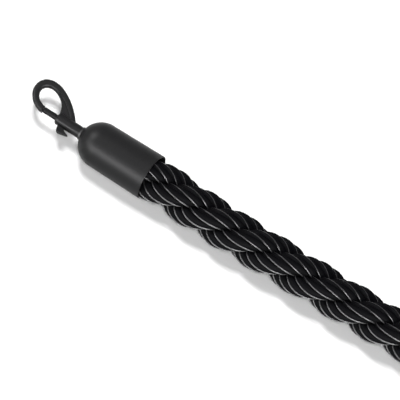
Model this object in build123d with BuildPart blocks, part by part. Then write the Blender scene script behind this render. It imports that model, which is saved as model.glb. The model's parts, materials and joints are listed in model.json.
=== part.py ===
from build123d import *
import os
from math import cos, pi, radians, sin, sqrt, tan

# Barrier rope with a domed end cap and a swivel bolt snap at each end, laid out flat.
# Millimetres, +Z up. The origin is the middle of hook A's eye. The rope leaves end A
# along +X, makes one turn of a neat coil, and end B lies inside that turn.

# --- Rope ---------------------------------------------------------------------------
ROPE_DIAMETER = 32.0
ROPE_EXPOSED = 1285.0  # from cap mouth to cap mouth
ROPE_IN_CAP = 43.0  # how far the rope goes into each cap
FULL_ROPE_IN_CAP = 16.0  # the part of that which keeps the full diameter
WHIPPED_RADIUS = 14.2  # the strand ends, squeezed by their whipping
WHIPPING_WALL, WHIPPING_LENGTH = 1.3, 18.0
WHIPPING_INSET = 2.0  # from the rope's end face

# --- Coil: one turn made of two tangent arcs ------------------------------------------
OUTER_BEND, OUTER_TURN = 172.0, 225.0  # radius, degrees
INNER_BEND, INNER_TURN = 126.0, 135.0
TAIL_LENGTH = 28.0  # straight rope from the coil to cap B

# --- End cap --------------------------------------------------------------------------
CAP_LENGTH = 60.0
DOME_RADIUS, RIM_RADIUS = 16.6, 17.15
CAP_WALL = 0.9
DOME_HOLE_RADIUS = 4.0
RIM_ROUNDING = 0.4

# --- Swivel ---------------------------------------------------------------------------
RUNNING_CLEARANCE = 0.08
STUD_RADIUS, STUD_TAIL = 1.5, -11.5
STUD_HEAD_RADIUS, STUD_HEAD_HEIGHT = 2.2, 1.2
BUSH_FLANGE_RADIUS, BUSH_FLANGE_TOP, BUSH_FLANGE_FOOT = 5.0, 0.5, -0.45
BUSH_FOOT = -5.0
BACKING_WASHER_RADIUS, BACKING_WASHER_HEIGHT = 8.8, 1.2
THRUST_WASHER_RADIUS, THRUST_WASHER_HEIGHT = 5.5, 1.0
NUT_ACROSS_FLATS, NUT_HEIGHT, NUT_GAP = 5.5, 4.0, 0.2

# --- Hook -----------------------------------------------------------------------------
EYE_REACH, EYE_SIDE = 33.5, 9.0  # the eye's middle, from the dome and from the axis
BARREL_RADIUS = 4.4
BARREL_FOOT, BARREL_FLOOR, BARREL_MOUTH = 0.8, 2.5, 21.4
MOUTH_CHAMFER = 1.1
HOOK_HALF_THICKNESS, WEB_HALF_THICKNESS = 2.55, 1.7
EDGE_ROUNDING = 1.9
TIP_REACH, TIP_INNER_SIDE, TIP_OUTER_SIDE = 33.2, 2.3, -2.9

# --- Gate bolt, thumb stud and spring -------------------------------------------------
BOLT_RADIUS = 2.2
BOLT_FOOT, BOLT_TIP = 13.5, 32.9
BOLT_TRAVEL = 7.5
TIP_CHAMFER = 0.6
PIN_RADIUS, PIN_REACH, PIN_INNER_END = 1.1, 15.6, -1.2
SLOT_MARGIN = 0.1
KNOB_FOOT, KNOB_HALF_WIDTH, KNOB_ROUNDING = -4.75, 2.0, 0.5
SPRING_RADIUS, SPRING_WIRE_RADIUS, SPRING_TURNS = 1.75, 0.18, 5

# --- Set screws -----------------------------------------------------------------------
SCREW_RADIUS, SCREW_LENGTH = 2.0, 6.0
SCREW_FROM_MOUTH = 10.0
SCREW_HEAD_RADIUS = 16.9  # from the axis to the screw's flat outer end
SCREW_SPREAD = 40.0  # degrees each side of straight down
SOCKET_ACROSS_FLATS, SOCKET_DEPTH = 2.0, 2.0

# --- Worked out -----------------------------------------------------------------------
ROPE_RADIUS = ROPE_DIAMETER / 2
LYING_HEIGHT = ROPE_RADIUS - RIM_RADIUS + 0.05  # the rope's centre line beside the caps
ENTRY_HEIGHT = -0.15  # and where it goes into them
COIL_LENGTH = radians(OUTER_TURN) * OUTER_BEND + radians(INNER_TURN) * INNER_BEND
STRAIGHT_LENGTH = ROPE_EXPOSED - COIL_LENGTH - TAIL_LENGTH
MOUTH_A = Vector(EYE_REACH + CAP_LENGTH, -EYE_SIDE)
COIL_START = MOUTH_A + Vector(STRAIGHT_LENGTH, 0)
OUTER_CENTRE = COIL_START + Vector(0, OUTER_BEND)
BEND_CHANGE = OUTER_CENTRE + Vector(0, -OUTER_BEND).rotate(Axis.Z, OUTER_TURN)
INNER_CENTRE = BEND_CHANGE + (OUTER_CENTRE - BEND_CHANGE) * (INNER_BEND / OUTER_BEND)
COIL_END = INNER_CENTRE + Vector(0, -INNER_BEND)
MOUTH_B = COIL_END + Vector(TAIL_LENGTH, 0)
DOME_B = MOUTH_B + Vector(CAP_LENGTH, 0)
RUN_LENGTHS = [FULL_ROPE_IN_CAP + 6, 40, 80]  # cap A's end of the straight stretch

# Each end has a plane of its own: x runs out along the axis from the top of the dome,
# y towards the hook's eye and z down.
ENDS = {
    "a": Plane((EYE_REACH, -EYE_SIDE, 0), x_dir=(-1, 0, 0), z_dir=(0, 0, -1)),
    "b": Plane(DOME_B, x_dir=(1, 0, 0), z_dir=(0, 0, -1)),
}


def save(part, name):
    part.label = name
    export_step(part, f"parts/{name}.step")


def axis_of(end):
    return Axis(end.origin, end.x_dir)


def across(end, reach):
    """The plane square to the end's axis at this reach, facing outwards."""
    return Plane(end.from_local_coords((reach, 0, 0)), x_dir=end.y_dir, z_dir=end.x_dir)


def round_piece(end, foot, top, outer_radius, inner_radius=0.0):
    """A plain ring or disc about the end's axis."""
    with BuildPart(across(end, foot)) as piece:
        Cylinder(outer_radius, top - foot, align=(Align.CENTER, Align.CENTER, Align.MIN))
        if inner_radius:
            Hole(inner_radius)
    return piece.part


# --- End cap and what holds the rope in it ----------------------------------------------
def dome_point(radius, degrees):
    """A point on the dome, measured from its foot."""
    return (radius * sin(radians(degrees)) - DOME_RADIUS, radius * cos(radians(degrees)))


def end_cap(end):
    inner_radius = DOME_RADIUS - CAP_WALL
    outer_edge = sqrt(DOME_RADIUS**2 - DOME_HOLE_RADIUS**2) - DOME_RADIUS
    inner_edge = sqrt(inner_radius**2 - DOME_HOLE_RADIUS**2) - DOME_RADIUS
    with BuildPart() as cap:
        with BuildSketch(end):
            with BuildLine():
                ThreePointArc(
                    (-DOME_RADIUS, DOME_RADIUS),
                    dome_point(DOME_RADIUS, 45),
                    (outer_edge, DOME_HOLE_RADIUS),
                )
                Line((outer_edge, DOME_HOLE_RADIUS), (inner_edge, DOME_HOLE_RADIUS))
                ThreePointArc(
                    (inner_edge, DOME_HOLE_RADIUS),
                    dome_point(inner_radius, 45),
                    (-DOME_RADIUS, inner_radius),
                )
                Polyline(
                    (-DOME_RADIUS, inner_radius),
                    (-CAP_LENGTH, RIM_RADIUS - CAP_WALL),
                    (-CAP_LENGTH, RIM_RADIUS),
                    (-DOME_RADIUS, DOME_RADIUS),
                )
            make_face()
        revolve(axis=axis_of(end))
        fillet(cap.faces().sort_by(axis_of(end))[0].edges(), RIM_ROUNDING)
        for plane in screw_planes(end):
            with BuildSketch(plane):
                Circle(SCREW_RADIUS)
            extrude(amount=-SCREW_LENGTH / 2, both=True, mode=Mode.SUBTRACT)
    return cap.part


def screw_planes(end):
    """Planes on the outer ends of the set screws, facing away from the axis."""
    station = end.from_local_coords((SCREW_FROM_MOUTH - CAP_LENGTH, 0, 0))
    planes = []
    for side in (-1, 1):
        outward = end.z_dir.rotate(Axis(end.origin, end.x_dir), side * SCREW_SPREAD)
        planes.append(Plane(station + outward * SCREW_HEAD_RADIUS, x_dir=end.x_dir, z_dir=outward))
    return planes


def cap_screws(end):
    with BuildPart() as screws:
        for plane in screw_planes(end):
            with BuildSketch(plane):
                Circle(SCREW_RADIUS)
            extrude(amount=-SCREW_LENGTH)
            with BuildSketch(plane):
                RegularPolygon(SOCKET_ACROSS_FLATS / 2, 6, major_radius=False)
            extrude(amount=-SOCKET_DEPTH, mode=Mode.SUBTRACT)
    return screws.part


def rope_whipping(end):
    foot = ROPE_IN_CAP - CAP_LENGTH - WHIPPING_INSET - WHIPPING_LENGTH
    return round_piece(
        end, foot, foot + WHIPPING_LENGTH, WHIPPED_RADIUS + WHIPPING_WALL, WHIPPED_RADIUS
    )


# --- Swivel -----------------------------------------------------------------------------
def swivel_bush(end):
    with BuildPart(across(end, BUSH_FOOT)) as bush:
        Cylinder(
            DOME_HOLE_RADIUS - 0.02,
            BUSH_FLANGE_TOP - BUSH_FOOT,
            align=(Align.CENTER, Align.CENTER, Align.MIN),
        )
        with BuildSketch(across(end, BUSH_FLANGE_FOOT)):
            Circle(BUSH_FLANGE_RADIUS)
        extrude(amount=BUSH_FLANGE_TOP - BUSH_FLANGE_FOOT)
        Hole(STUD_RADIUS + RUNNING_CLEARANCE)
    return bush.part


def backing_washer(end):
    return round_piece(
        end, BUSH_FOOT, BUSH_FOOT + BACKING_WASHER_HEIGHT, BACKING_WASHER_RADIUS, DOME_HOLE_RADIUS
    )


def thrust_washer(end):
    top = BUSH_FOOT
    return round_piece(
        end, top - THRUST_WASHER_HEIGHT, top, THRUST_WASHER_RADIUS, STUD_RADIUS + RUNNING_CLEARANCE
    )


def swivel_stud(end):
    with BuildPart(across(end, STUD_TAIL)) as stud:
        Cylinder(STUD_RADIUS, BARREL_FLOOR - STUD_TAIL, align=(Align.CENTER, Align.CENTER, Align.MIN))
        with BuildSketch(across(end, BARREL_FLOOR)):
            Circle(STUD_HEAD_RADIUS)
        extrude(amount=STUD_HEAD_HEIGHT)
    return stud.part


def lock_nut(end):
    top = BUSH_FOOT - THRUST_WASHER_HEIGHT - NUT_GAP
    with BuildPart() as nut:
        with BuildSketch(across(end, top)):
            RegularPolygon(NUT_ACROSS_FLATS / 2, 6, major_radius=False)
            Circle(STUD_RADIUS, mode=Mode.SUBTRACT)
        extrude(amount=-NUT_HEIGHT)
    return nut.part


# --- Hook -------------------------------------------------------------------------------
def hook_body(end):
    with BuildPart() as hook:
        with BuildSketch(end):
            with BuildLine():
                back = Spline(
                    (8.0, 4.0), (16.0, 12.2), (26.6, 19.2), (37.6, 22.2), (45.7, 19.3),
                    (48.6, 11.5), (45.3, 3.5), (38.9, -1.3), (TIP_REACH, TIP_OUTER_SIDE),
                )
                Line(back @ 1, (TIP_REACH, TIP_INNER_SIDE))
                eye = Spline(
                    (TIP_REACH, TIP_INNER_SIDE), (37.9, 3.7), (41.7, 7.1), (43.2, 11.5),
                    (41.4, 15.3), (37.2, 16.6), (31.7, 15.3), (26.6, 12.0), (22.8, 6.9),
                    (BARREL_MOUTH, 2.6),
                )
                Polyline(eye @ 1, (BARREL_MOUTH, 0), (8.0, 0), back @ 0)
            make_face()
        extrude(amount=HOOK_HALF_THICKNESS, both=True)
        rims = hook.edges().filter_by(GeomType.BSPLINE)
        fillet(rims, EDGE_ROUNDING)
        for face in (1, -1):
            with BuildSketch(end.offset(face * WEB_HALF_THICKNESS)):
                with BuildLine():
                    crease = Spline((10.4, 2.2), (15.6, 7.9), (23.4, 13.4), (31.6, 17.2))
                    Polyline(
                        crease @ 1, (29.0, 12.4), (24.0, 6.0), (BARREL_MOUTH + 2, 0), crease @ 0
                    )
                make_face()
            extrude(amount=face * HOOK_HALF_THICKNESS, mode=Mode.SUBTRACT)
        with BuildSketch(end):
            with BuildLine():
                Polyline(
                    (BARREL_FOOT, 0),
                    (BARREL_MOUTH, 0),
                    (BARREL_MOUTH, BARREL_RADIUS - MOUTH_CHAMFER),
                    (BARREL_MOUTH - MOUTH_CHAMFER, BARREL_RADIUS),
                    (BARREL_FOOT, BARREL_RADIUS),
                    close=True,
                )
            make_face()
        revolve(axis=axis_of(end))
        with BuildSketch(across(end, BARREL_MOUTH)):
            Circle(BOLT_RADIUS + RUNNING_CLEARANCE)
        extrude(amount=BARREL_FLOOR - BARREL_MOUTH, mode=Mode.SUBTRACT)
        with BuildSketch(across(end, BARREL_FOOT)):
            Circle(STUD_RADIUS)
        extrude(amount=BARREL_FLOOR - BARREL_FOOT, mode=Mode.SUBTRACT)
        slot_end = PIN_REACH + PIN_RADIUS + SLOT_MARGIN
        slot_foot = PIN_REACH - BOLT_TRAVEL - PIN_RADIUS - SLOT_MARGIN
        middle = end.from_local_coords(((slot_end + slot_foot) / 2, 0, 0))
        with BuildSketch(Plane(middle, x_dir=end.x_dir, z_dir=-end.y_dir)):
            SlotOverall(slot_end - slot_foot, 2 * (PIN_RADIUS + SLOT_MARGIN))
        extrude(amount=BARREL_RADIUS + 1, mode=Mode.SUBTRACT)
    return hook.part


# --- Gate bolt, thumb stud and spring ---------------------------------------------------
def pin_plane(end):
    """The plane that the thumb stud's pin starts from, facing the knob."""
    return Plane(
        end.from_local_coords((PIN_REACH, PIN_INNER_END, 0)), x_dir=end.x_dir, z_dir=-end.y_dir
    )


def gate_bolt(end):
    with BuildPart() as bolt:
        with BuildSketch(across(end, BOLT_FOOT)):
            Circle(BOLT_RADIUS)
        extrude(amount=BOLT_TIP - BOLT_FOOT)
        chamfer(bolt.faces().sort_by(axis_of(end))[-1].edges(), TIP_CHAMFER)
        with BuildSketch(pin_plane(end)):
            Circle(PIN_RADIUS)
        extrude(amount=BOLT_RADIUS, mode=Mode.SUBTRACT)
    return bolt.part


def thumb_stud(end):
    with BuildPart() as stud:
        with BuildSketch(end):
            with BuildLine():
                Polyline(
                    (17.6, KNOB_FOOT),
                    (16.4, -8.5),
                    (15.1, -9.3),
                    (10.5, -8.4),
                    (7.3, -7.5),
                    (10.6, -6.5),
                    (12.2, KNOB_FOOT),
                    close=True,
                )
            make_face()
        extrude(amount=KNOB_HALF_WIDTH, both=True)
        fillet(stud.edges().filter_by(Plane(end.origin, z_dir=end.z_dir)), KNOB_ROUNDING)
        with BuildSketch(pin_plane(end)):
            Circle(PIN_RADIUS)
        extrude(amount=PIN_INNER_END - KNOB_FOOT)
    return stud.part


def bolt_spring(end):
    foot = BARREL_FLOOR + STUD_HEAD_HEIGHT + SPRING_WIRE_RADIUS
    height = BOLT_FOOT - SPRING_WIRE_RADIUS - foot
    with BuildPart() as spring:
        with BuildLine():
            coil = Helix(
                height / SPRING_TURNS,
                height,
                SPRING_RADIUS,
                center=end.from_local_coords((foot, 0, 0)),
                direction=end.x_dir,
            )
        with BuildSketch(Plane(coil @ 0, z_dir=coil % 0)):
            Circle(SPRING_WIRE_RADIUS)
        sweep()
    return spring.part


# --- Rope -------------------------------------------------------------------------------
def route_radii(points):
    """As large an arc at each corner as its two runs allow."""
    radii = []
    for before, corner, after in zip(points, points[1:], points[2:]):
        run_in, run_out = corner - before, after - corner
        half_turn = radians(run_in.get_angle(run_out) / 2)
        radii.append(0.45 * min(run_in.length, run_out.length) / tan(half_turn))
    return radii


def rope_tube(points):
    radii = route_radii(points)
    print("route radii", [round(radius) for radius in radii])
    with BuildPart() as tube:
        with BuildLine() as line:
            FilletPolyline(*points, radius=radii)
        path = line.wire()
        with BuildSketch(Plane(path @ 0, z_dir=path % 0)):
            Circle(ROPE_RADIUS)
        sweep(path=path)
    print("tube", tube.part.volume, "should be", path.length * pi * ROPE_RADIUS**2)
    return tube.part


def with_whipped_end(tube, end):
    foot = FULL_ROPE_IN_CAP - CAP_LENGTH
    with BuildPart() as rope:
        add(tube)
        with BuildSketch(across(end, foot)):
            Circle(WHIPPED_RADIUS)
        extrude(amount=ROPE_IN_CAP - FULL_ROPE_IN_CAP)
    return rope.part


def rope_run():
    x = MOUTH_A.X - FULL_ROPE_IN_CAP
    points = [Vector(x, MOUTH_A.Y, ENTRY_HEIGHT)]
    for length, height in zip(RUN_LENGTHS, (ENTRY_HEIGHT, LYING_HEIGHT / 2, LYING_HEIGHT)):
        x += length
        points.append(Vector(x, MOUTH_A.Y, height))
    points.append(Vector(COIL_START.X, MOUTH_A.Y, LYING_HEIGHT))
    return with_whipped_end(rope_tube(points), ENDS["a"])


def rope_tail():
    y = COIL_END.Y
    points = [
        Vector(COIL_END.X, y, LYING_HEIGHT),
        Vector(COIL_END.X + 8, y, LYING_HEIGHT),
        Vector(MOUTH_B.X - 2, y, ENTRY_HEIGHT),
        Vector(MOUTH_B.X + FULL_ROPE_IN_CAP, y, ENTRY_HEIGHT),
    ]
    return with_whipped_end(rope_tube(points), ENDS["b"])


def rope_coil():
    start = COIL_START + Vector(0, 0, LYING_HEIGHT)
    with BuildPart() as coil:
        with BuildLine(Plane.XY.offset(LYING_HEIGHT)) as line:
            outer = JernArc((COIL_START.X, COIL_START.Y), (1, 0), OUTER_BEND, OUTER_TURN)
            JernArc(outer @ 1, outer % 1, INNER_BEND, INNER_TURN)
        with BuildSketch(Plane(start, z_dir=(1, 0, 0))):
            Circle(ROPE_RADIUS)
        sweep(path=line.wire())
    return coil.part


os.makedirs("parts", exist_ok=True)
END_PIECES = [
    end_cap, cap_screws, rope_whipping, swivel_bush, backing_washer, thrust_washer,
    swivel_stud, lock_nut, hook_body, gate_bolt, thumb_stud, bolt_spring,
]
for letter, end in ENDS.items():
    for piece in END_PIECES:
        save(piece(end), f"{piece.__name__}_{letter}")
save(rope_run(), "rope_run")
save(rope_coil(), "rope_coil")
save(rope_tail(), "rope_tail")
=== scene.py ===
import json
import math

import bpy
import numpy as np
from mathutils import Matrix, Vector


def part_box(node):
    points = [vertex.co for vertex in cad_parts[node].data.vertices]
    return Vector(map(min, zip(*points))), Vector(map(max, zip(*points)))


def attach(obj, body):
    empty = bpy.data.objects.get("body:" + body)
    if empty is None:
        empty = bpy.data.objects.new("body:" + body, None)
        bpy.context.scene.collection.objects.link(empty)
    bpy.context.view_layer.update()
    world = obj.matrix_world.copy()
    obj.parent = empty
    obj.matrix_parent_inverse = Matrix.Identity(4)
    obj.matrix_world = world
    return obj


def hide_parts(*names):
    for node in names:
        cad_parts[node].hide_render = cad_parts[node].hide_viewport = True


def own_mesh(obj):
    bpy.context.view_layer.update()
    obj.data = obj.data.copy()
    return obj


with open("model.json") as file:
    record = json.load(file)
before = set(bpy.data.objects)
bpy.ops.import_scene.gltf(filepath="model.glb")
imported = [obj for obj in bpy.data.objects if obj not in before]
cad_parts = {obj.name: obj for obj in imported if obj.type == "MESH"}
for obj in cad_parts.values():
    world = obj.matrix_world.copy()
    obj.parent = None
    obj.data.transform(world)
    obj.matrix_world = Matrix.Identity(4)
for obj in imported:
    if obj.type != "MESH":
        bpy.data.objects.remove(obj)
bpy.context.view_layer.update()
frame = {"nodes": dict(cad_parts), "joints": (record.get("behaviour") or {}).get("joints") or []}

MM = 0.001
ENDS = ("a", "b")


# --- Places taken from the frame ----------------------------------------------------
ROPE_DIAMETER, ROPE_LENGTH, ROPE_EXPOSED = 32 * MM, 1.371, 1.285
CAP_LENGTH = 60 * MM


def end_frame(letter):
    """Where an end's dome is, and the way its hook points."""
    joint = next(j for j in frame["joints"] if j["name"] == f"swivel_{letter}")
    return Vector(joint["pos_m"]), Vector(joint["axis"])


floor_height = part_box("end_cap_a")[0].z
dome_a, outward_a = end_frame("a")
dome_b, outward_b = end_frame("b")
mouth_a = dome_a - outward_a * CAP_LENGTH
mouth_b = dome_b - outward_b * CAP_LENGTH

# --- Camera -------------------------------------------------------------------------
CAMERA_AZIMUTH, CAMERA_ELEVATION = math.radians(34.9), math.radians(64.6)
VIEW_WIDTH = 0.2812  # of the picture, at the object
LENS, SENSOR = 800.0, 36.0
VIEW_CENTRE = Vector((0.1257, 0.0039, -0.0200))


def direction(azimuth, elevation):
    """From the object towards a viewer or lamp; azimuth 0 stands at -Y, 90 at +X."""
    level = math.cos(elevation)
    return Vector((math.sin(azimuth) * level, -math.cos(azimuth) * level, math.sin(elevation)))


def make_camera():
    data = bpy.data.cameras.new("camera")
    data.lens, data.sensor_width = LENS, SENSOR
    distance = VIEW_WIDTH * LENS / SENSOR
    data.clip_end = 4 * distance
    camera = bpy.data.objects.new("camera", data)
    towards = direction(CAMERA_AZIMUTH, CAMERA_ELEVATION)
    camera.location = VIEW_CENTRE + towards * distance
    camera.rotation_mode = "QUATERNION"
    camera.rotation_quaternion = (-towards).to_track_quat("-Z", "Y")
    bpy.context.scene.collection.objects.link(camera)
    bpy.context.scene.camera = camera


make_camera()


# --- Materials -------------------------------------------------------------------------
def new_material(name, colour, roughness, **inputs):
    material = bpy.data.materials.new(name)
    material.use_nodes = True
    shader = material.node_tree.nodes["Principled BSDF"]
    shader.inputs["Base Color"].default_value = (*colour, 1)
    shader.inputs["Roughness"].default_value = roughness
    for socket, value in inputs.items():
        shader.inputs[socket].default_value = value
    return material


def paint(node, material):
    data = frame["nodes"][node].data
    data.materials.clear()
    data.materials.append(material)


def node(material, kind, inputs=None, **settings):
    """A new node with these settings, and its sockets set to a value or joined to one."""
    made = material.node_tree.nodes.new(kind)
    for name, value in settings.items():
        setattr(made, name, value)
    for name, value in (inputs or {}).items():
        if isinstance(value, bpy.types.NodeSocket):
            material.node_tree.links.new(value, made.inputs[name])
        else:
            made.inputs[name].default_value = value
    return made


def spread(material, value, low, high):
    """A socket that turns 0 to 1 into low to high."""
    made = node(material, "ShaderNodeMapRange", {"Value": value, "To Min": low, "To Max": high})
    return made.outputs["Result"]


def blended(material, value, dark, light):
    """A colour socket between two greys or colours."""
    made = node(material, "ShaderNodeMix", {"Factor": value}, data_type="RGBA")
    made.inputs["A"].default_value = (*dark, 1)
    made.inputs["B"].default_value = (*light, 1)
    return made.outputs["Result"]


def drive(material, **sockets):
    """Joins sockets to the shader's inputs."""
    shader = material.node_tree.nodes["Principled BSDF"]
    for name, socket in sockets.items():
        material.node_tree.links.new(socket, shader.inputs[name.replace("_", " ")])


def fibres(material, across, along, slant):
    """Noise drawn out along a ply: so many fibres in its width, so many breaks in a metre."""
    place = node(material, "ShaderNodeUVMap", uv_map="yarn")
    scaled = node(
        material, "ShaderNodeMapping", {"Vector": place.outputs["UV"], "Scale": (across, along, 1)}
    )
    lean = node(material, "ShaderNodeSeparateXYZ", {"Vector": scaled.outputs["Vector"]})
    shift = node(
        material,
        "ShaderNodeMath",
        {0: lean.outputs["Y"], 1: slant, 2: lean.outputs["X"]},
        operation="MULTIPLY_ADD",
    )
    joined = node(material, "ShaderNodeCombineXYZ", {"X": shift.outputs[0], "Y": lean.outputs["Y"]})
    made = node(
        material,
        "ShaderNodeTexNoise",
        {"Vector": joined.outputs["Vector"], "Scale": 1.0, "Detail": 2.0, "Roughness": 0.6},
    )
    return made.outputs["Fac"]


def yarn_material():
    """Black satin yarn: fibres that run along the ply at a slant."""
    material = new_material("yarn", (0.005, 0.005, 0.006), 0.7, **{"Specular IOR Level": 0.02})
    fine = fibres(material, 26, 120, 2.0)
    bump = node(
        material, "ShaderNodeBump", {"Height": fine, "Strength": 0.5, "Distance": 0.15 * MM}
    )
    drive(
        material,
        Base_Color=blended(material, fine, (0.001, 0.001, 0.0013), (0.004, 0.004, 0.005)),
        Roughness=spread(material, fine, 0.6, 0.8),
        Normal=bump.outputs["Normal"],
    )
    return material


def edge_cord_material():
    """The glossier fine cord along each ply."""
    material = new_material("edge_cord", (0.015, 0.015, 0.017), 0.42, **{"Specular IOR Level": 0.5})
    fine = fibres(material, 40, 250, 1.0)
    drive(
        material,
        Base_Color=blended(material, fine, (0.010, 0.010, 0.011), (0.020, 0.020, 0.022)),
        Roughness=spread(material, fine, 0.36, 0.48),
    )
    return material


# --- Rope: its route ------------------------------------------------------------------
LYING, ENTRY = -0.75 * MM, -0.10 * MM
OUTER_BEND, OUTER_TURN = 172 * MM, 225
INNER_BEND, INNER_TURN = 126 * MM, 135
TAIL = 28 * MM
FULL_ROPE_IN_CAP = 16 * MM
COIL_STEP = 15  # degrees
LINE_RESOLUTION = 48


def arc_points(centre, radius, start, turn):
    """Control points of a round stretch, half a step off its ends, just outside it."""
    step = math.radians(COIL_STEP)
    reach = radius / math.cos(step / 2)
    for k in range(turn // COIL_STEP):
        angle = math.radians(start) + (k + 0.5) * step
        yield centre + reach * Vector((math.sin(angle), -math.cos(angle), 0))


def rope_route():
    """The rope's control points from inside cap A to inside cap B."""
    coil_length = math.radians(OUTER_TURN) * OUTER_BEND + math.radians(INNER_TURN) * INNER_BEND
    coil_start = mouth_a + Vector((ROPE_EXPOSED - coil_length - TAIL, 0, LYING))
    turned = math.radians(OUTER_TURN)
    outer_centre = coil_start + Vector((0, OUTER_BEND, 0))
    to_change = Vector((math.sin(turned), -math.cos(turned), 0))
    inner_centre = outer_centre + to_change * (OUTER_BEND - INNER_BEND)
    coil_end = inner_centre - Vector((0, INNER_BEND, 0))
    before_coil = coil_start - Vector((OUTER_BEND * math.tan(math.radians(COIL_STEP / 2)), 0, 0))
    route = [
        mouth_a + Vector((-FULL_ROPE_IN_CAP, 0, ENTRY)),
        mouth_a + Vector((6 * MM, 0, ENTRY)),
        mouth_a + Vector((46 * MM, -2.2 * MM, LYING)),
        mouth_a + Vector((126 * MM, -1.5 * MM, LYING)),
        before_coil,
    ]
    route += arc_points(outer_centre, OUTER_BEND, 0, OUTER_TURN)
    route += arc_points(inner_centre, INNER_BEND, OUTER_TURN, INNER_TURN)
    route += [
        coil_end + Vector((8 * MM, 0, 0)),
        mouth_b + Vector((-2 * MM, 0, ENTRY)),
        mouth_b + Vector((FULL_ROPE_IN_CAP, 0, ENTRY)),
    ]
    return route


def smooth_line(points):
    """Points read from the NURBS spline that has these control points."""
    data = bpy.data.curves.new("route", "CURVE")
    data.dimensions = "3D"
    spline = data.splines.new("NURBS")
    spline.points.add(len(points) - 1)
    for knot, place in zip(spline.points, points):
        knot.co = (*place, 1)
    spline.order_u = 3
    spline.use_endpoint_u = True
    spline.resolution_u = LINE_RESOLUTION
    holder = bpy.data.objects.new("route", data)
    bpy.context.scene.collection.objects.link(holder)
    bpy.context.view_layer.update()
    mesh = bpy.data.meshes.new_from_object(holder)
    line = np.array([v.co for v in mesh.vertices])
    bpy.data.objects.remove(holder)
    return line


def evenly_spaced(line, spacing):
    """The same line with its points this far apart, and their distances along it."""
    steps = np.linalg.norm(np.diff(line, axis=0), axis=1)
    along = np.concatenate([[0], np.cumsum(steps)])
    count = int(round(along[-1] / spacing)) + 1
    stations = np.linspace(0, along[-1], count)
    return np.stack([np.interp(stations, along, line[:, k]) for k in range(3)], 1), stations


# --- Rope: three twisted strands of six plies --------------------------------------------
STRANDS, PLIES = 3, 6
LAY_LENGTH = 94.7 * MM  # one turn of a strand, left-handed
PLY_LAY_LENGTH = 33.6 * MM  # one turn of a ply in its strand, right-handed
STRAND_RADIUS, STRAND_OFFSET = 8.0 * MM, 8.35 * MM
STRAND_PHASE, PLY_PHASE = 17, 42
WANDER, WANDER_LENGTH, WANDER_CREST = 2.0 * MM, 140 * MM, 114.5 * MM  # the lay isn't quite even
RING_SPACING = 2.0 * MM
GROOVE_DEPTH, RAMP_SHAPE = 2.1 * MM, 2.6
RAMP_POINTS = (-0.5, -0.44, -0.36, -0.26, -0.15, -0.03, 0.08, 0.17)  # shares of a ply's width
CORD_PLACE, CORD_HALF_WIDTH, CORD_HEIGHT = 0.36, 0.095, 0.55 * MM
CORD_STEPS = 10
GLOSSY_SHARE = 0.3  # of a cord's half width, on the groove's side


def unit(vectors):
    return vectors / np.linalg.norm(vectors, axis=-1, keepdims=True)


def ply_outline():
    """Places across one ply, as shares of its width, and their distances from the strand's middle.

    The ply climbs out of the groove beside the last one to a fine cord along its far edge.
    """
    ramp = np.array(RAMP_POINTS)
    round_cord = np.radians(np.linspace(-90, 90, CORD_STEPS + 1))
    places = np.concatenate([ramp, CORD_PLACE + CORD_HALF_WIDTH * np.sin(round_cord)])
    below = np.clip((CORD_PLACE - places) / (CORD_PLACE + 0.5), 0, None) ** RAMP_SHAPE
    raised = np.concatenate([0 * ramp, CORD_HEIGHT * np.cos(round_cord)])
    return places, STRAND_RADIUS - CORD_HEIGHT - GROOVE_DEPTH * below + raised


def strand_section():
    """The points round a strand of six plies: their places in plies, and their radii."""
    places, radii = ply_outline()
    return (np.arange(PLIES)[:, None] + places[None, :]).reshape(-1), np.tile(radii, PLIES)


def on_cord(places):
    """Which faces round a strand are the glossy part of a cord; each face follows its place."""
    middles = places + np.diff(places, append=places[0] + PLIES) / 2 + 0.5
    offsets = (middles % 1 - 0.5 - CORD_PLACE) / CORD_HALF_WIDTH
    return (offsets > -1) & (offsets < GLOSSY_SHARE)


def strand_points(centres, stations, strand, places, radii):
    """A strand's surface: one ring of points for each station."""
    forward = unit(np.gradient(centres, axis=0))
    side = unit(np.cross([0, 0, 1], forward))
    up = np.cross(forward, side)
    wander = WANDER * np.cos(2 * math.pi * (stations - WANDER_CREST) / WANDER_LENGTH)
    turns = strand / STRANDS - (stations + wander) / LAY_LENGTH
    place = math.radians(STRAND_PHASE) + 2 * math.pi * turns
    out = np.cos(place)[:, None] * side + np.sin(place)[:, None] * up
    middle = centres + STRAND_OFFSET * out
    along = unit(np.gradient(middle, axis=0))
    normal = unit(out - (out * along).sum(1, keepdims=True) * along)
    across = np.cross(along, normal)
    twist = math.radians(PLY_PHASE) + 2 * math.pi * stations / PLY_LAY_LENGTH
    turned = (twist[:, None] + (places * 2 * math.pi / PLIES)[None, :])[..., None]
    ring = np.cos(turned) * normal[:, None, :] + np.sin(turned) * across[:, None, :]
    return (middle[:, None, :] + radii[None, :, None] * ring).reshape(-1, 3)


def strand_faces(strand, stations, places):
    """A strand's quads, and the place and station of each of their corners."""
    around = len(places)
    here = np.arange(around)[None, :]
    after = (here + 1) % around
    rows = around * (strand * len(stations) + np.arange(len(stations) - 1)[:, None])
    quads = np.stack([rows + here, rows + after, rows + after + around, rows + here + around], -1)
    next_places = np.append(places[1:], places[0] + PLIES)
    corner_places = np.stack([places, next_places, next_places, places], -1)
    start, end = stations[:-1], stations[1:]
    corner_stations = np.stack([start, start, end, end], -1)[:, None, :]
    return (
        quads.reshape(-1, 4),
        np.broadcast_to(corner_places, quads.shape).reshape(-1),
        np.broadcast_to(corner_stations, quads.shape).reshape(-1),
    )


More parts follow.
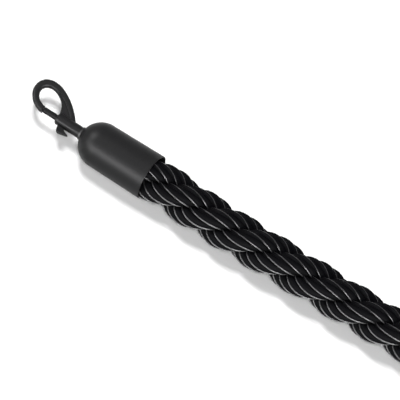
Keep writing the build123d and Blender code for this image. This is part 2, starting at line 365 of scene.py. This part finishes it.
def make_rope(line):
    centres, stations = evenly_spaced(line, RING_SPACING)
    places, radii = strand_section()
    points = [strand_points(centres, stations, k, places, radii) for k in range(STRANDS)]
    parts = [strand_faces(k, stations, places) for k in range(STRANDS)]
    faces, face_places, face_stations = (np.concatenate(column) for column in zip(*parts))
    mesh = bpy.data.meshes.new("rope")
    mesh.from_pydata(np.concatenate(points).tolist(), [], faces.tolist())
    layer = mesh.uv_layers.new(name="yarn")
    layer.uv.foreach_set("vector", np.stack([face_places, face_stations], 1).ravel())
    mesh.materials.append(yarn_material())
    mesh.materials.append(edge_cord_material())
    glossy = np.tile(on_cord(places), len(faces) // len(places))
    mesh.polygons.foreach_set("material_index", glossy.astype(np.int32))
    mesh.shade_smooth()
    rope = bpy.data.objects.new("rope", mesh)
    bpy.context.scene.collection.objects.link(rope)
    return rope


route_line = smooth_line(rope_route())
rope = make_rope(route_line)
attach(rope, "root")
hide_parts("rope_run", "rope_coil", "rope_tail")


# --- Finishes of the hard parts ---------------------------------------------------------
def grained(name, greys, roughness, grain, depth, stretch=(1, 1, 1), **constants):
    """A finish whose grey, gloss and surface all follow one fine grain, this many to a metre."""
    low, high = greys
    material = new_material(name, (high, high, high), roughness[1], **constants)
    place = node(material, "ShaderNodeTexCoord")
    drawn = node(
        material, "ShaderNodeMapping", {"Vector": place.outputs["Object"], "Scale": stretch}
    )
    noise = node(
        material,
        "ShaderNodeTexNoise",
        {"Vector": drawn.outputs["Vector"], "Scale": grain, "Detail": 3.0, "Roughness": 0.6},
    )
    fine = noise.outputs["Fac"]
    bump = node(material, "ShaderNodeBump", {"Height": fine, "Strength": 0.4, "Distance": depth})
    drive(
        material,
        Base_Color=blended(material, fine, (low, low, low * 1.04), (high, high, high * 1.04)),
        Roughness=spread(material, fine, *roughness),
        Normal=bump.outputs["Normal"],
    )
    return material


def constants(level, metallic=0.0):
    return {"Specular IOR Level": level, "Metallic": metallic}


satin_coat = grained("satin_coat", (0.010, 0.015), (0.38, 0.46), 900, 0.02 * MM, **constants(0.07))
cast_coat = grained("cast_coat", (0.009, 0.015), (0.34, 0.44), 1400, 0.05 * MM, **constants(0.08))
bolt_coat = grained("bolt_coat", (0.009, 0.013), (0.38, 0.48), 1800, 0.02 * MM, **constants(0.04))
nylon = grained("nylon", (0.012, 0.020), (0.50, 0.62), 1200, 0.03 * MM, **constants(0.35))
black_steel = grained("black_steel", (0.03, 0.06), (0.35, 0.50), 1500, 0.02 * MM, **constants(0.5, 0.9))
zinc = grained("zinc", (0.50, 0.62), (0.26, 0.42), 700, 0.02 * MM, **constants(0.5, 1.0))
wire = grained("wire", (0.30, 0.42), (0.25, 0.40), 1600, 0.02 * MM, (0.2, 1, 1), **constants(0.5, 1.0))
twine = grained("twine", (0.05, 0.12), (0.75, 0.90), 2000, 0.15 * MM, (2, 1, 1), **constants(0.2))
FINISHES = {
    "end_cap": satin_coat,
    "cap_screws": black_steel,
    "rope_whipping": twine,
    "swivel_bush": nylon,
    "backing_washer": zinc,
    "thrust_washer": zinc,
    "swivel_stud": zinc,
    "lock_nut": zinc,
    "hook_body": cast_coat,
    "gate_bolt": bolt_coat,
    "thumb_stud": bolt_coat,
    "bolt_spring": wire,
}
for name, finish in FINISHES.items():
    for letter in ENDS:
        paint(f"{name}_{letter}", finish)

# --- The rounded edge along each hook's web -----------------------------------------------
CREASE = ((10.4, 2.2), (15.6, 7.9), (23.4, 13.4), (31.6, 17.2))  # mm along and beside the axis
CREASE_HEIGHT, CREASE_SET_BACK, CREASE_RADIUS = 1.75 * MM, 0.35 * MM, 0.85 * MM
CREASE_SPACING, CREASE_SIDES = 0.5 * MM, 12
FOOT_TAPER, TIP_TAPER = 12, 3  # how many times its length each taper goes into the edge's
THINNEST = 0.02


def crease_line(dome, outward, sideways, face):
    """The edge's middle line, from the barrel to where it runs into the bow."""
    flat = [Vector((along, beside, 0)) * MM for along, beside in CREASE]
    line = smooth_line([flat[0], *flat, flat[-1]])
    middles = evenly_spaced(line, CREASE_SPACING)[0]
    along = unit(np.gradient(middles, axis=0))
    middles = middles + np.cross([0, 0, 1], along) * CREASE_SET_BACK
    axes = np.array([outward, sideways, (0, 0, 1)])
    return np.array(dome) + (middles + np.array([0, 0, face * CREASE_HEIGHT])) @ axes


def tapered_tube(line, first):
    """A round tube along the line: its points, and its faces if its first point has this number."""
    upwards = np.array([0, 0, 1])
    side = np.cross(upwards, unit(np.gradient(line, axis=0)))
    share = np.linspace(0, 1, len(line))
    taper = np.clip(np.minimum(share * FOOT_TAPER, (1 - share) * TIP_TAPER), THINNEST, 1) ** 0.5
    angles = np.linspace(0, 2 * math.pi, CREASE_SIDES, endpoint=False)[None, :, None]
    ring = np.cos(angles) * side[:, None, :] + np.sin(angles) * upwards
    points = (line[:, None, :] + (CREASE_RADIUS * taper)[:, None, None] * ring).reshape(-1, 3)
    faces = []
    for row in range(len(line) - 1):
        start = first + row * CREASE_SIDES
        for k in range(CREASE_SIDES):
            here, after = start + k, start + (k + 1) % CREASE_SIDES
            faces.append((here, after, after + CREASE_SIDES, here + CREASE_SIDES))
    last = first + (len(line) - 1) * CREASE_SIDES
    faces.append(tuple(range(first, first + CREASE_SIDES))[::-1])
    faces.append(tuple(range(last, last + CREASE_SIDES)))
    return points.tolist(), faces


def make_crease(letter, dome, outward, sideways):
    """A tapered round edge on both faces of a hook, half sunk into its body."""
    vertices, faces = [], []
    for face in (1, -1):
        line = crease_line(dome, outward, sideways, face)
        more_vertices, more_faces = tapered_tube(line, len(vertices))
        vertices += more_vertices
        faces += more_faces
    mesh = bpy.data.meshes.new(f"web_edge_{letter}")
    mesh.from_pydata(vertices, [], faces)
    mesh.shade_smooth()
    mesh.materials.append(cast_coat)
    edge = bpy.data.objects.new(f"web_edge_{letter}", mesh)
    bpy.context.scene.collection.objects.link(edge)
    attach(edge, f"hook_{letter}")


make_crease("a", dome_a, outward_a, Vector((0, 1, 0)))
make_crease("b", dome_b, outward_b, Vector((0, -1, 0)))


def make_spring(letter):
    source = frame["nodes"][f"bolt_spring_{letter}"]
    spring = bpy.data.objects.new(f"spring_{letter}", source.data.copy())
    spring.matrix_world = source.matrix_world
    bpy.context.scene.collection.objects.link(spring)
    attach(spring, f"hook_{letter}")
    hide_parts(f"bolt_spring_{letter}")
    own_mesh(spring)


make_spring("a")
make_spring("b")

# --- Floor and light --------------------------------------------------------------------
FLOOR_SIZE = 6.0
HORIZON = (-0.02, 0.04)  # where the room turns from floor to ceiling, as heights on a unit ball


def make_floor():
    half = FLOOR_SIZE / 2
    mesh = bpy.data.meshes.new("floor")
    signs = ((-1, -1), (1, -1), (1, 1), (-1, 1))
    mesh.from_pydata([(x * half, y * half, floor_height) for x, y in signs], [], [(0, 1, 2, 3)])
    floor = bpy.data.objects.new("floor", mesh)
    bpy.context.scene.collection.objects.link(floor)
    mesh.materials.append(new_material("floor", (0.86, 0.86, 0.86), 0.9))


def softbox(name, azimuth, elevation, distance, size, power, gloss):
    """A rectangular lamp facing the object, which is seen only in its gloss or lights the rest."""
    data = bpy.data.lights.new(name, "AREA")
    data.shape = "RECTANGLE"
    data.size, data.size_y = size
    data.energy = power
    lamp = bpy.data.objects.new(name, data)
    towards = direction(math.radians(azimuth), math.radians(elevation))
    lamp.location = VIEW_CENTRE + towards * distance
    lamp.rotation_mode = "QUATERNION"
    lamp.rotation_quaternion = (-towards).to_track_quat("-Z", "Y")
    lamp.visible_camera = False
    lamp.visible_diffuse = not gloss
    lamp.visible_glossy = gloss
    bpy.context.scene.collection.objects.link(lamp)


def make_world(ceiling, below):
    """A dim room over a pale floor that goes on past the model's own."""
    world = bpy.data.worlds.new("world")
    world.use_nodes = True
    nodes, links = world.node_tree.nodes, world.node_tree.links
    place = nodes.new("ShaderNodeTexCoord")
    split = nodes.new("ShaderNodeSeparateXYZ")
    level = nodes.new("ShaderNodeMapRange")
    values = {"From Min": HORIZON[0], "From Max": HORIZON[1], "To Min": below, "To Max": ceiling}
    for name, value in values.items():
        level.inputs[name].default_value = value
    links.new(place.outputs["Generated"], split.inputs["Vector"])
    links.new(split.outputs["Z"], level.inputs["Value"])
    links.new(level.outputs["Result"], nodes["Background"].inputs["Strength"])
    nodes["Background"].inputs["Color"].default_value = (1, 1, 1, 1)
    bpy.context.scene.world = world


make_floor()
make_world(ceiling=0.12, below=1.0)
softbox("key", 215, 72, 2.0, (0.6, 0.6), 45, gloss=False)
softbox("fill", 35, 64, 2.5, (0.5, 0.5), 32, gloss=False)
softbox("strip_left", -46, 30, 1.5, (1.0, 0.40), 30, gloss=True)
softbox("strip_front", 3, 33, 1.5, (1.5, 0.42), 70, gloss=True)
softbox("strip_behind", -95, 45, 1.5, (0.7, 0.4), 26, gloss=True)
softbox("strip_right", 55, 30, 1.5, (1.3, 0.42), 85, gloss=True)
bpy.context.scene.view_settings.view_transform = "Standard"
